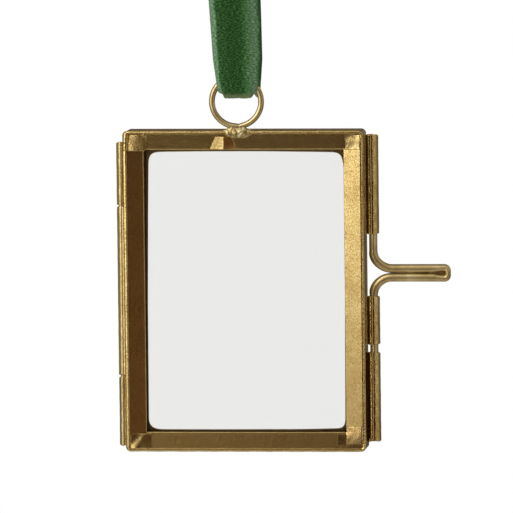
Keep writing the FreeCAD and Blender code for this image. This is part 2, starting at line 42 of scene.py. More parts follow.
# small helpers
def linear(hexColour):
    # sRGB hex to linear RGBA
    code = np.array([int(hexColour[i:i + 2], 16) for i in (1, 3, 5)]) / 255
    value = np.where(code <= 0.04045, code / 12.92, ((code + 0.055) / 1.055) ** 2.4)
    return (*[float(v) for v in value], 1.0)


def ease(x, low=0.0, high=1.0):
    # smooth step from 0 at low to 1 at high
    t = np.clip((x - low) / (high - low), 0, 1)
    return t * t * (3 - 2 * t)


def plug(tree, node, inputs):
    # sets a node's inputs, named or in order, to values, or links them from sockets or
    # from nodes' first outputs
    for name, value in inputs.items() if isinstance(inputs, dict) else enumerate(inputs):
        source = value.outputs[0] if isinstance(value, bpy.types.Node) else value
        if isinstance(source, bpy.types.NodeSocket):
            tree.links.new(source, node.inputs[name])
        else:
            node.inputs[name].default_value = source


def addNode(tree, kind, inputs=(), stops=(), **settings):
    # one node with its settings, its inputs and, for a colour ramp, its stops: each is a
    # place and a grey, a hex colour or a linear colour
    node = tree.nodes.new("ShaderNode" + kind)
    for name, value in settings.items():
        setattr(node, name, value)
    plug(tree, node, inputs)
    if stops:
        elements = node.color_ramp.elements
        while len(elements) < len(stops):
            elements.new(0.5)
        for element, (place, colour) in zip(elements, stops):
            element.position = place
            if isinstance(colour, str):
                element.color = linear(colour)
            else:
                element.color = (*colour, 1) if isinstance(colour, tuple) else (colour, colour, colour, 1)
    return node


def newMaterial(name, sockets):
    # a material with one Principled shader, and the sockets that are the same all over
    material = bpy.data.materials.new(name)
    material.use_nodes = True
    tree = material.node_tree
    shader = tree.nodes["Principled BSDF"]
    plug(tree, shader, sockets)
    return material, tree, shader


def gridMesh(name, points, material, body, closeRows=False, uv=None):
    # Rows of points, each a closed loop, made one closed skin. Where the last row isn't
    # joined to the first, a pole closes either end; the faces are turned outwards by the
    # skin's signed volume.
    rows, columns = points.shape[:2]
    index = np.arange(rows * columns).reshape(rows, columns)
    if uv is None:
        uv = np.stack(np.meshgrid(np.linspace(0, 1, rows), np.linspace(0, 1, columns), indexing="ij"), -1)
    u, v = uv[..., 0], uv[..., 1]
    if closeRows:
        index = np.vstack([index, index[:1]])
        u = np.vstack([u, u[-1:] + (u[-1:] - u[-2:-1])])
        v = np.vstack([v, v[:1]])
    index = np.hstack([index, index[:, :1]])
    u = np.hstack([u, u[:, :1]])
    v = np.hstack([v, v[:, -1:] + (v[:, -1:] - v[:, -2:-1])])

    def corners(field):
        return np.stack([field[:-1, :-1], field[1:, :-1], field[1:, 1:], field[:-1, 1:]], -1).reshape(-1, 4)

    quads, fans = corners(index), []
    loopUv = np.stack([corners(u), corners(v)], -1).reshape(-1, 2)
    vertices = points.reshape(-1, 3)
    if not closeRows:
        poles = np.array([points[0].mean(0), points[-1].mean(0)])
        first, last = len(vertices), len(vertices) + 1
        vertices = np.vstack([vertices, poles])
        for pole, row, turn in ((first, 0, 1), (last, -1, -1)):
            a, b = index[row, :-1], index[row, 1:]
            fans.append(np.stack([np.full_like(a, pole), *(a, b)[::turn]], -1))
            ends = np.stack([u[row, :-1], v[row, :-1]], -1)
            loopUv = np.vstack([loopUv, np.repeat(ends, 3, axis=0)])
    mesh = bpy.data.meshes.new(name)
    mesh.from_pydata(vertices.tolist(), [], sum([fan.tolist() for fan in fans], quads.tolist()))
    layer = mesh.uv_layers.new(name="UVMap")
    layer.data.foreach_set("uv", loopUv.astype(np.float32).ravel())
    a, b, c = vertices[np.vstack([quads[:, :3], quads[:, [0, 2, 3]], *fans])].swapaxes(0, 1)
    if np.einsum("ij,ij->i", a, np.cross(b, c)).sum() < 0:
        mesh.flip_normals()
    mesh.shade_smooth()
    mesh.validate()
    mesh.update()
    piece = bpy.data.objects.new(name, mesh)
    bpy.context.collection.objects.link(piece)
    piece.data.materials.append(material)
    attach(piece, body)
    return piece


def runAlong(line):
    # the distance from a line's first point to each of its points
    return np.concatenate([[0], np.cumsum(np.linalg.norm(np.diff(line, axis=0), axis=1))])


def evenLine(corners, count, closed=False):
    # evenly spaced points on the straight runs between the corners
    corners = np.array(corners, dtype=float)
    if closed:
        corners = np.vstack([corners, corners[:1]])
    run = runAlong(corners)
    place = np.linspace(0, run[-1], count, endpoint=not closed)
    return np.stack([np.interp(place, run, corners[:, k]) for k in (0, 1)], 1)


def soften(line, passes):
    # each point averaged with its neighbours, the two ends held
    for _ in range(passes):
        line[1:-1] = (line[:-2] + 2 * line[1:-1] + line[2:]) / 4
    return line


def leftOf(line):
    # unit vectors in the line's plane, to its left
    tangent = np.gradient(line, axis=0)
    return np.stack([-tangent[:, 1], tangent[:, 0]], 1) / np.linalg.norm(tangent, axis=1)[:, None]


def ripples(x, z, waves, level=0):
    # the level plus a sum of sine waves, each a height, how fast it goes with x and with
    # z in radians per mm, and its start
    return sum([height * np.sin(x * fastX + z * fastZ + start) for height, fastX, fastZ, start in waves], level)


def waver(place, size, fast, slow):
    # a factor that strays from 1 by a fast sine times a slow one
    return 1 + size * np.sin(place * fast) * np.sin(place * slow)


def standing(flat, y=0.0):
    # points or vectors (x, z) as (x, y, z)
    return np.stack([flat[:, 0], 0 * flat[:, 0] + y, flat[:, 1]], 1)


wireEnd = {"quarter": 0.93, "reach": 0.25, "narrowing": 0.3}   # how a cut end is rounded over


def wireSkin(centre, inPlane, halfPlane, halfDepth, sides=28, capRows=5):
    # A wire in the XZ plane: each row is an ellipse round the centre line, one half
    # axis in the plane and one along Y. Past each end, capRows rows narrow like a dome.
    steps = np.linspace(0, np.pi / 2 * wireEnd["quarter"], capRows + 1)[1:]
    narrow = 1 - wireEnd["narrowing"] * (1 - np.cos(steps))

    def rounded(row, ahead):
        out = centre[row] + np.outer(np.sin(steps), ahead) * wireEnd["reach"] * halfPlane[row]
        return out, halfPlane[row] * narrow, halfDepth[row] * narrow

    tangent = np.gradient(centre, axis=0)
    tangent /= np.linalg.norm(tangent, axis=1)[:, None]
    c0, p0, d0 = rounded(0, -tangent[0])
    c1, p1, d1 = rounded(-1, tangent[-1])
    line = np.vstack([c0[::-1], centre, c1])
    plane = np.concatenate([p0[::-1], halfPlane, p1])
    depth = np.concatenate([d0[::-1], halfDepth, d1])
    side = np.vstack([np.repeat(inPlane[:1], capRows, 0), inPlane, np.repeat(inPlane[-1:], capRows, 0)])
    angle = np.linspace(0, 2 * np.pi, sides, endpoint=False)
    points = line[:, None] + side[:, None] * (plane[:, None] * np.cos(angle))[..., None]
    points[..., 1] += depth[:, None] * np.sin(angle)
    uv = np.stack(np.broadcast_arrays(runAlong(line)[:, None], angle * plane.mean()), -1)
    return points, uv


def awayFrom(azimuth, elevation):
    # the direction from the object to a camera or a lamp, from angles in degrees
    a, e = np.radians([azimuth, elevation])
    return np.array([np.sin(a) * np.cos(e), -np.cos(a) * np.cos(e), np.sin(e)])


# camera, as the photograph was taken
cameraView = {"azimuth": 6.8, "elevation": 5.2, "roll": -0.655, "distance": 2.5,
              "aim": (0.0091586, 0.0, -0.1435408), "focalPixels": 10057.1, "imageWidth": 513,
              "sensor": 36, "clip": (0.05, 20)}


def placeCamera():
    roll = np.radians(cameraView["roll"])
    back = awayFrom(cameraView["azimuth"], cameraView["elevation"])
    right = np.cross([0, 0, 1.0], back)
    right /= np.linalg.norm(right)
    up = np.cross(back, right)
    turnedRight = np.cos(roll) * right + np.sin(roll) * up
    turnedUp = np.cos(roll) * up - np.sin(roll) * right
    place = np.array(cameraView["aim"]) + cameraView["distance"] * back
    data = bpy.data.cameras.new("camera")
    data.sensor_width = cameraView["sensor"]
    data.lens = cameraView["focalPixels"] * cameraView["sensor"] / cameraView["imageWidth"]
    data.clip_start, data.clip_end = cameraView["clip"]
    camera = bpy.data.objects.new("camera", data)
    bpy.context.collection.objects.link(camera)
    axes = np.stack([turnedRight, turnedUp, back], 1)
    camera.matrix_world = Matrix.Translation(Vector(place)) @ Matrix(axes.tolist()).to_4x4()
    bpy.context.scene.camera = camera


placeCamera()
print("camera placed")


# studio: white surroundings, softboxes and small cards, a brown room behind the camera
studio = {
    "fillLevel": 0.62,   # what matt surfaces receive from all round
    "shineByHeight": {"From Min": -0.7, "From Max": 0.7, "To Min": 0.6, "To Max": 1.25},
    "lampAim": (0.008, 0, -0.15),
    "roomAxis": (0.052, -0.995, -0.087),   # from the object to the middle of the room
    # what gloss shows, from straight behind (0) over the sides (0.5) to straight ahead
    # (1): a dark middle in a light ring, dark wings, a wide light zone, the brown room
    "shine": [(0.0, (0.12, 0.095, 0.07)), (0.05, (0.13, 0.10, 0.078)), (0.09, (0.50, 0.48, 0.45)),
              (0.13, (0.50, 0.48, 0.45)), (0.2, (0.08, 0.065, 0.05)), (0.34, (0.10, 0.08, 0.06)),
              (0.44, (0.46, 0.44, 0.40)), (0.80, (0.58, 0.56, 0.51)), (0.89, (0.42, 0.38, 0.33)),
              (0.93, (0.21, 0.13, 0.08)), (0.95, (0.13, 0.076, 0.044)), (0.965, (0.085, 0.048, 0.028)),
              (0.98, (0.07, 0.038, 0.022)), (0.9925, (0.17, 0.096, 0.054)), (0.998, (0.05, 0.03, 0.02))],
    "lamps": {
        "leftSoftbox": {"azimuth": -43, "elevation": 24.5, "distance": 0.8, "size": (0.7, 0.94), "level": 2.5},
        "lowCard": {"azimuth": -42, "elevation": -18, "distance": 0.8, "size": (0.22, 0.26), "level": 1.1},
        "warmCard": {"azimuth": 21, "elevation": -20, "distance": 0.35, "size": (0.16, 0.22), "level": 0.12,
                     "colour": (1.0, 0.5, 0.26)},
        "leftCard": {"azimuth": -17, "elevation": -11, "distance": 0.8, "size": (0.05, 0.16), "level": 5.0},
        "rightCard": {"azimuth": 43, "elevation": -6, "distance": 0.8, "size": (0.14, 0.28), "level": 1.0},
        "rearSoftbox": {"azimuth": 140, "elevation": 20, "distance": 0.8, "size": (0.5, 0.6), "level": 0.6},
    },
}


def makeWorld():
    world = bpy.data.worlds.new("studio")
    bpy.context.scene.world = world
    world.use_nodes = True
    tree = world.node_tree
    tree.nodes.clear()
    path = addNode(tree, "LightPath").outputs
    direction = addNode(tree, "TexCoord").outputs["Generated"]
    along = addNode(tree, "VectorMath", [direction, studio["roomAxis"]], operation="DOT_PRODUCT")
    ahead = addNode(tree, "MapRange", {"Value": along.outputs["Value"], "From Min": -1.0})
    zones = addNode(tree, "ValToRGB", {"Fac": ahead}, studio["shine"])
    # gloss gets more light from above than from the floor
    height = addNode(tree, "SeparateXYZ", [direction]).outputs["Z"]
    above = addNode(tree, "MapRange", {"Value": height, **studio["shineByHeight"]})
    shine = addNode(tree, "Background", {"Color": zones, "Strength": above})
    white = addNode(tree, "Background", {"Color": (1, 1, 1, 1), "Strength": 1.0})
    fill = addNode(tree, "Background", {"Color": (1, 1, 1, 1), "Strength": studio["fillLevel"]})
    seen = addNode(tree, "Math", [path["Is Camera Ray"], path["Is Transmission Ray"]], operation="MAXIMUM")
    # a reflection keeps its surroundings after it has passed through a pane
    reflected = addNode(tree, "Math", [path["Glossy Depth"], 1.0], operation="MINIMUM")
    around = addNode(tree, "MixShader", [seen, fill, white])
    surface = addNode(tree, "MixShader", [reflected, around, shine])
    addNode(tree, "OutputWorld", {"Surface": surface})
    world.cycles.sampling_method = "NONE"


def makeLamps():
    # each lamp's power follows its area, so that its level is its brightness
    for name, lamp in studio["lamps"].items():
        back = Vector(awayFrom(lamp["azimuth"], lamp["elevation"]))
        data = bpy.data.lights.new(name, "AREA")
        data.shape = "RECTANGLE"
        data.size, data.size_y = lamp["size"]
        data.color = lamp.get("colour", (1.0, 1.0, 1.0))
        data.energy = lamp["level"] * np.pi * lamp["size"][0] * lamp["size"][1]
        lampObject = bpy.data.objects.new(name, data)
        bpy.context.collection.objects.link(lampObject)
        lampObject.location = Vector(studio["lampAim"]) + back * lamp["distance"]
        lampObject.rotation_mode = "QUATERNION"
        lampObject.rotation_quaternion = (-back).to_track_quat("-Z", "Y")
        lampObject.visible_camera = False
        lampObject.visible_transmission = False


floorBoard = {"half": 0.7, "level": -0.62, "colour": "#ECEBE8"}


def makeFloor():
    # painted board, pale and matt, well under the frame and out of the photograph's view
    material = newMaterial("paintedBoardFloor", {"Base Color": linear(floorBoard["colour"]), "Roughness": 0.8})[0]
    mesh = bpy.data.meshes.new("floor")
    half, level = floorBoard["half"], floorBoard["level"]
    mesh.from_pydata([(-half, -half, level), (half, -half, level), (half, half, level), (-half, half, level)],
                     [], [(0, 1, 2, 3)])
    floor = bpy.data.objects.new("floor", mesh)
    floor.data.materials.append(material)
    bpy.context.collection.objects.link(floor)


makeWorld()
makeLamps()
makeFloor()
bpy.context.scene.view_settings.view_transform = "Standard"
print("studio lit")


# materials
def metalGrain(tree, fine, clouds):
    # the object's own coordinates, and two sizes of noise on them, in waves to the metre:
    # fine grain left by the finish, and slow clouds left by handling
    place = addNode(tree, "TexCoord").outputs["Object"]
    grain = addNode(tree, "TexNoise", {"Vector": place, "Scale": fine, "Roughness": 0.6})
    return place, grain, addNode(tree, "TexNoise", {"Vector": place, "Scale": clouds})


# 0.3 mm grain, 6 mm clouds, 0.6 mm dimples, and scratches 1 mm apart and 17 mm long; the
# places are the noise levels of the four tones, and the right bar starts in rightBar
sheetFinish = {"grain": 3400.0, "clouds": 170.0, "grainShare": 0.75, "places": (0.38, 0.47, 0.55, 0.64),
               "dimples": 1700.0, "dimpleHeight": 0.00006, "rightBar": (0.0295, 0.032),
               "scratchTurn": (0.4, 0.9, 0.7), "scratches": (900.0, 900.0, 60.0), "scratchDepth": 0.00005}


def makeSheetBrass(name, tones, bumps, roughness):
    # Cartridge brass sheet, rolled, folded by hand, darkened and lacquered: brownish
    # gold with a satin shine, fine speckled grain and faint brown clouds.
    f = sheetFinish
    material, tree, shader = newMaterial(name, {"Metallic": 1.0})
    place, grain, clouds = metalGrain(tree, f["grain"], f["clouds"])
    grainPart = addNode(tree, "Math", [grain, f["grainShare"]], operation="MULTIPLY")
    mixed = addNode(tree, "Math", [clouds, 1 - f["grainShare"], grainPart], operation="MULTIPLY_ADD")
    colour = addNode(tree, "ValToRGB", {"Fac": mixed}, list(zip(f["places"], tones)))
    satin = addNode(tree, "MapRange", {"Value": mixed, "From Min": f["places"][0], "From Max": f["places"][-1],
                                       "To Min": roughness[0], "To Max": roughness[1]})
    # the dimples are deep up to the right bar and shallow on it, where the lacquer pooled
    side = addNode(tree, "SeparateXYZ", [place])
    depth = addNode(tree, "MapRange", {"Value": side, "From Min": f["rightBar"][0], "From Max": f["rightBar"][1],
                                       "To Min": bumps[0], "To Max": bumps[1]})
    dimples = addNode(tree, "TexNoise", {"Vector": place, "Scale": f["dimples"], "Roughness": 0.7})
    bump = addNode(tree, "Bump", {"Height": dimples, "Strength": depth, "Distance": f["dimpleHeight"]})
    # fine scratches from handling: thin lines of a stretched, turned noise
    turned = addNode(tree, "Mapping", {"Vector": place, "Rotation": f["scratchTurn"], "Scale": f["scratches"]})
    streak = addNode(tree, "TexNoise", {"Vector": turned, "Scale": 1.0, "Detail": 0.0})
    line = addNode(tree, "ValToRGB", {"Fac": streak}, [(0.0, 1.0), (0.27, 1.0), (0.30, 0.0), (1.0, 0.0)])
    scratch = addNode(tree, "Bump", {"Height": line, "Strength": 0.05, "Distance": f["scratchDepth"],
                                     "Normal": bump}, invert=True)
    plug(tree, shader, {"Base Color": colour, "Roughness": satin, "Normal": scratch})
    return material


def makeWireBrass():
    # Drawn brass wire with the same dark lacquer: smooth along, with faint draw marks,
    # 0.4 mm grain and 4 mm clouds.
    material, tree, shader = newMaterial("drawnBrassWire", {"Metallic": 1.0})
    _, grain, clouds = metalGrain(tree, 2600.0, 260.0)
    colour = addNode(tree, "ValToRGB", {"Fac": clouds}, [(0.3, "#AC9868"), (0.5, "#BFAB7B"), (0.7, "#CFBE91")])
    satin = addNode(tree, "MapRange", {"Value": grain, "To Min": 0.30, "To Max": 0.42})
    bump = addNode(tree, "Bump", {"Height": grain, "Strength": 0.25, "Distance": 0.00006})
    plug(tree, shader, {"Base Color": colour, "Roughness": satin, "Normal": bump})
    return material


def makeSolder():
    # Soft solder, run by hand and brass-plated over: lumpy, bright on its tips, with
    # 0.4 mm grain and 1.1 mm lumps.
    material, tree, shader = newMaterial("platedSolder", {"Metallic": 1.0, "Roughness": 0.4})
    _, grain, lumps = metalGrain(tree, 2400.0, 900.0)
    colour = addNode(tree, "ValToRGB", {"Fac": lumps}, [(0.3, "#76623C"), (0.5, "#AE9B6B"), (0.7, "#DACDA4")])
    bump = addNode(tree, "Bump", {"Height": lumps, "Strength": 0.5, "Distance": 0.0002})
    fine = addNode(tree, "Bump", {"Height": grain, "Strength": 0.3, "Distance": 0.00005, "Normal": bump})
    plug(tree, shader, {"Base Color": colour, "Normal": fine})
    return material


def makeGlass():
    # Soda-lime float glass, cut to size: clear, its faces a touch grey-green together.
    # The tint is linear, because light takes it four times and a hex step is too coarse.
    return newMaterial("floatGlass", {"Base Color": (0.972, 0.976, 0.970, 1), "Transmission Weight": 1.0,
                                      "Roughness": 0.0, "IOR": 1.5})[0]


# lengths in metres: pile rows 0.3 mm apart broken into 0.7 mm dashes, coarser than the
# real pile so that they show; 6 mm patches of noise move the painted sheen bands by 0.7 mm at most
velvetFinish = {
    "width": 0.0127, "pileRows": (3600.0, 1500.0, 1.0), "sheenPatches": 170.0, "wander": 0.0014, "contrast": 2.1,
    # painted sheen: how pale each place is painted where the ribbon turns its edges away, from the left edge to the
    # right
    "sheenBands": [(0.0, 0.60), (0.125, 0.66), (0.16, 0.22), (0.40, 0.10), (0.58, 0.14), (0.74, 0.48), (0.86, 0.66),
              (0.92, 0.45), (0.96, 0.12)],
    # where along the ribbon the fold lies open over the ring
    "openFrom": (0.0002, 0.0012), "openTo": (0.0035, 0.0050), "openShare": 0.75,
}


def makeVelvet():
    # Nylon velvet, woven with a short cut pile: deep green face on, with its sheen painted in as
    # pale bands along both edges, and with fine rows across the ribbon.
    f = velvetFinish
    material, tree, shader = newMaterial("cutPileVelvet", {
        "Metallic": 0.0, "Roughness": 0.9, "Sheen Weight": 0.35, "Sheen Roughness": 0.35,
        "Sheen Tint": linear("#A6B6A4"), "Specular IOR Level": 0.1})
    weave = addNode(tree, "UVMap")
    rows = addNode(tree, "Mapping", {"Vector": weave, "Scale": f["pileRows"]})
    pile = addNode(tree, "TexNoise", {"Vector": rows, "Scale": 1.0, "Detail": 3.0, "Roughness": 0.7})
    sheenPatch = addNode(tree, "TexNoise", {"Vector": weave, "Scale": f["sheenPatches"]})
    # place across the ribbon, 0 to 1, its painted sheen bands wandering a little with a slow noise
    along, across = list(addNode(tree, "SeparateXYZ", [weave]).outputs)[:2]
    wander = addNode(tree, "Math", [sheenPatch, f["wander"], -f["wander"] / 2], operation="MULTIPLY_ADD")
    moved = addNode(tree, "Math", [across, wander], operation="ADD")
    share = addNode(tree, "Math", [moved, 1 / f["width"]], operation="MULTIPLY")
    # painted sheen: the pale bands along both edges
    paintedSheen = addNode(tree, "ValToRGB", {"Fac": share}, f["sheenBands"])
    tone = addNode(tree, "Math", [pile, f["contrast"], -f["contrast"] / 2], operation="MULTIPLY_ADD")
    summed = addNode(tree, "Math", [paintedSheen, tone], operation="ADD")
    colour = addNode(tree, "ValToRGB", {"Fac": summed}, [(0.0, "#15300F"), (0.2, "#25491E"), (0.5, "#46683F"),
                                                         (0.85, "#738C72"), (1.0, "#8DA28B")])
    # the woven ground shows olive where the fold lies open
    opens = addNode(tree, "MapRange", {"Value": along, "From Min": f["openFrom"][0], "From Max": f["openFrom"][1],
                                       "To Max": f["openShare"]})
    closes = addNode(tree, "MapRange", {"Value": along, "From Min": f["openTo"][0], "From Max": f["openTo"][1],
                                        "To Min": 1.0, "To Max": 0.0})
    bare = addNode(tree, "Math", [opens, closes], operation="MULTIPLY")
    ground = addNode(tree, "Mix", {0: bare, 6: colour, 7: linear("#75805A")}, data_type="RGBA")
    bump = addNode(tree, "Bump", {"Height": pile, "Strength": 0.7, "Distance": 0.0002})
    plug(tree, shader, {"Base Color": ground.outputs[2], "Normal": bump})
    return material


sheetBrass = makeSheetBrass("antiquedBrassSheet", ("#9E8048", "#B69C62", "#C2AC72", "#CDB880"),
                            bumps=(0.55, 0.01), roughness=(0.25, 0.18))
# a darker copy of the sheet, painted shade for places in shade: the groove by the right bead, the lower right fold
# and dent, and the latch's slot
paintedShadeBrass = makeSheetBrass("paintedShadeBrassSheet", ("#6B5430", "#93794A", "#A68E5E", "#B8A170"),
                              bumps=(0.3, 0.06), roughness=(0.3, 0.24))
# rolling over a mandrel leaves the sheet of the knuckles duller
formedBrass = makeSheetBrass("rolledBrassSheet", ("#A18B58", "#B49E68", "#C1AC77", "#CDBA86"),
                             bumps=(0.2, 0.04), roughness=(0.38, 0.32))
wireBrass = makeWireBrass()
platedSolder = makeSolder()
floatGlass = makeGlass()
velvet = makeVelvet()
# the CAD nodes that stay keep their mesh and get the better material
for nodeName, finish in {"front_frame": sheetBrass, "back_frame": sheetBrass, "front_glass": floatGlass,
                         "back_glass": floatGlass, "hinge_pin": wireBrass}.items():
    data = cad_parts[nodeName].data
    data.materials.clear()
    data.materials.append(finish)
print("materials made")


# latch pin
latchWire = {"axis": (38.0775, 2.9), "foot": -170.762, "radius": 1.03, "lowLeg": 17.2, "lowBend": 4.55,
             "upBend": 4.65, "upLeg": 17.5, "spacing": 2.2, "tip": 19.3, "tipWall": 1.3, "tipLength": 1.75,
             "tipSwell": 0.02, "gapStart": 14.2, "gapHalf": 0.36, "squareness": 2.4, "waver": (0.006, 61, 23),
             "armRadius": 1.1, "bendRadius": 1.13, "lean": 0.2, "squeeze": (0.35, 1.12),
             "legRows": 40, "bendRows": 28, "armRows": 22, "tipRows": 61,
             "web": {"from": 0.3, "past": 0.25, "over": 0.2, "halfDepth": 0.35, "rows": 24, "sides": 20}}


def makeLatchPin():
    # The wire's centre line and half width in the plane of its bends: straight legs,
    # quarter circles, and a tip between two squarish curves, |x/a|^n + |z/b|^n = 1, so
    # that the wire is thinner where it was squeezed.
    w = latchWire
    r, arm, bend = w["radius"], w["armRadius"], w["bendRadius"]
    low, gap, gapStart = w["lowBend"], w["spacing"] / 2, w["gapStart"]
    middle = low + gap
    quarter = np.radians(np.linspace(0, 90, w["bendRows"]))
    # in its bends the wire is a little thicker and leans towards the leaf; its legs stay
    # straight and thin, because they slide in the barrels
    bent = quarter / quarter[-1]
    aside = w["lean"] * ease(bent, 0, 0.3) * (1 - bent)
    thicker = r + (bend - r) * ease(bent, 0, 0.15) + (arm - bend) * ease(bent, 0.5, 1)
    leg = np.linspace(-w["lowLeg"], 0, w["legRows"])[:-1]
    lowRun = np.linspace(low, gapStart, w["armRows"])[1:]
    centre = [np.stack([0 * leg, leg], 1),
              np.stack([low - low * np.cos(quarter) - aside, low * np.sin(quarter)], 1),
              np.stack([lowRun, 0 * lowRun + low], 1)]
    half = [r + 0 * leg, thicker, arm + 0 * lowRun]
    # the loop opens, goes round the tip, and closes again as its own mirror image
    tipStart = w["tip"] - w["tipLength"]
    opening = np.linspace(gapStart, tipStart, w["armRows"])[1:-1]
    grow = ease(opening, gapStart, tipStart)
    outer = gap + arm + w["tipSwell"] * grow
    inner = (gap - arm) + (w["gapHalf"] - (gap - arm)) * grow
    turn = np.radians(np.linspace(-90, 90, w["tipRows"]))
    power = 2 / w["squareness"]

    def squarish(a, b):
        return np.stack([tipStart + a * np.abs(np.cos(turn)) ** power,
                         b * np.sign(np.sin(turn)) * np.abs(np.sin(turn)) ** power], 1)

    outside = squarish(w["tipLength"], gap + arm + w["tipSwell"])
    inside = squarish(w["tipLength"] - w["tipWall"], w["gapHalf"])
    openLow = np.stack([opening, middle - (outer + inner) / 2], 1)
    openHalf = (outer - inner) / 2
    centre += [openLow, (outside + inside) / 2 + (0, middle), (openLow * (1, -1) + (0, 2 * middle))[::-1]]
    half += [openHalf, np.linalg.norm(inside - outside, axis=1) / 2, openHalf[::-1]]
    # back along the upper arm and up the upper leg
    topRun = np.linspace(gapStart, w["upBend"], w["armRows"])
    leg = np.linspace(0, w["upLeg"], w["legRows"])[1:]
    back, high = quarter[1:], low + w["spacing"]
    centre += [np.stack([topRun, 0 * topRun + high], 1),
               np.stack([w["upBend"] * (1 - np.sin(back)) - aside[::-1][1:],
                         high + w["upBend"] * (1 - np.cos(back))], 1),
               np.stack([0 * leg, high + w["upBend"] + leg], 1)]
    half += [arm + 0 * topRun, thicker[::-1][1:], r + 0 * leg]
    centre, half = np.vstack(centre), np.concatenate(half)
    depth = r * np.clip((r / half) ** w["squeeze"][0], 1, w["squeeze"][1])   # squeezed wire is deeper
    run = np.linspace(0, 1, len(half))
    half = half * waver(run, *w["waver"])
    x, y = w["axis"]
    footTop = w["foot"] + w["lowLeg"]
    points, uv = wireSkin(standing(centre + (x, footTop), y) * mm, standing(leftOf(centre)), half * mm, depth * mm)
    piece = gridMesh("latch_wire", points, wireBrass, "latch_pin", uv=uv)
    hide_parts("latch_pin")
    # a thin web in the slot where the loop's end was squeezed shut, in the darker copy of the sheet: painted shade
    # for the dark slot
    web = w["web"]
    webX = np.linspace(gapStart + web["from"], w["tip"] - w["tipWall"] + web["past"], web["rows"])
    line = standing(np.stack([webX + x, 0 * webX + middle + footTop], 1), y) * mm
    upward = np.repeat([[0.0, 0.0, 1.0]], web["rows"], 0)
    halfPlane = np.full(web["rows"], w["gapHalf"] + web["over"]) * mm
    halfDepth = np.full(web["rows"], web["halfDepth"]) * mm
    points, uv = wireSkin(line, upward, halfPlane, halfDepth, sides=web["sides"])
    gridMesh("latch_slot_shade_web", points, paintedShadeBrass, "latch_pin", uv=uv)


makeLatchPin()
print("latch pin bent")


# hanging ring and the solder at its foot
ring = {"centre": (4.6, 0.0, -104.908), "radius": 6.15, "wire": 0.75, "mouth": 13.0, "drop": 0.12,
        "cusp": 0.62, "mouthHalf": 0.04, "rows": 150, "endRows": 10, "passes": 3}
solderLump = {"centre": (5.0, -0.66, -112.6), "half": (3.85, 0.85, 1.35), "lumps": 260, "swell": (-0.08, 0.15),
              "size": (0.16, 0.34), "rows": 90, "columns": 120, "pole": 0.02, "seed": 8}


def makeRing():
    # A circle that leaves its ends at a mouth, where both dip to a point off centre.
    low = np.radians(ring["mouth"])
    angle = np.linspace(low, 2 * np.pi - low, ring["rows"])
    arc = np.stack([np.sin(angle), -np.cos(angle)], 1) * ring["radius"]
    foot = np.array([ring["cusp"], -ring["radius"] - ring["drop"]])
    right, left = foot + (ring["mouthHalf"], 0), foot - (ring["mouthHalf"], 0)
    t = np.linspace(0, 1, ring["endRows"])[:-1, None]
    centre = soften(np.vstack([right + (arc[0] - right) * t, arc, (left + (arc[-1] - left) * t)[::-1]]),
                    ring["passes"])
    x, y, z = ring["centre"]
    half = np.full(len(centre), ring["wire"] * mm)
    points, uv = wireSkin(standing(centre + (x, z), y) * mm, standing(leftOf(centre)), half, half)
    piece = gridMesh("ring_wire", points, wireBrass, "front_leaf", uv=uv)
    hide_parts("hanging_ring")


def makeSolderLump():
    # An ellipsoid swollen by round lumps: out by the sum of swell * exp(-d^2 / (2 size^2)),
    # d the distance in mm from each lump's place.
    s = solderLump
    draw = np.random.default_rng(s["seed"])
    polar = np.linspace(s["pole"], np.pi - s["pole"], s["rows"])[:, None]
    around = np.linspace(0, 2 * np.pi, s["columns"], endpoint=False)
    normal = np.stack([np.cos(polar) + 0 * around, np.sin(polar) * np.cos(around),
                       np.sin(polar) * np.sin(around)], -1)
    half = np.array(s["half"])
    smooth = normal * half
    places = draw.normal(size=(s["lumps"], 3))
    places *= (half / np.linalg.norm(places, axis=1)[:, None])
    swell = draw.uniform(*s["swell"], s["lumps"])
    size = draw.uniform(*s["size"], s["lumps"])
    near = ((smooth[:, :, None] - places) ** 2).sum(-1)
    out = (swell * np.exp(-near / (2 * size ** 2))).sum(-1)
    steep = normal / half
    steep /= np.linalg.norm(steep, axis=-1)[..., None]
    points = smooth + steep * out[..., None]
    piece = gridMesh("solder_lump", (points + s["centre"]) * mm, platedSolder, "front_leaf")
    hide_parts("ring_solder")


makeRing()
makeSolderLump()
print("ring and solder made")


# hinge knuckles and latch barrels, rolled from sheet: each one's body, its low and high
# end, how far the ends draw back on the outer side, and for a knuckle its turn in degrees
rolls = {
    "hinge_knuckle_top": ("back_leaf", -130.86, -115.16, (0.2, 0.55), -17),
    "hinge_knuckle_middle": ("front_leaf", -173.46, -131.26, (0.25, 0.2), -17),
    "hinge_knuckle_bottom": ("back_leaf", -191.16, -173.86, (0.7, 0.3), -32),
    "latch_barrel_upper": ("front_leaf", -138.16, -113.36, (0.15, 0.3), 0),
    "latch_barrel_short": ("front_leaf", -165.76, -153.66, (0.2, 0.2), 0),
    "latch_barrel_lower": ("back_leaf", -190.16, -167.66, (0.3, 0.25), 0),
}
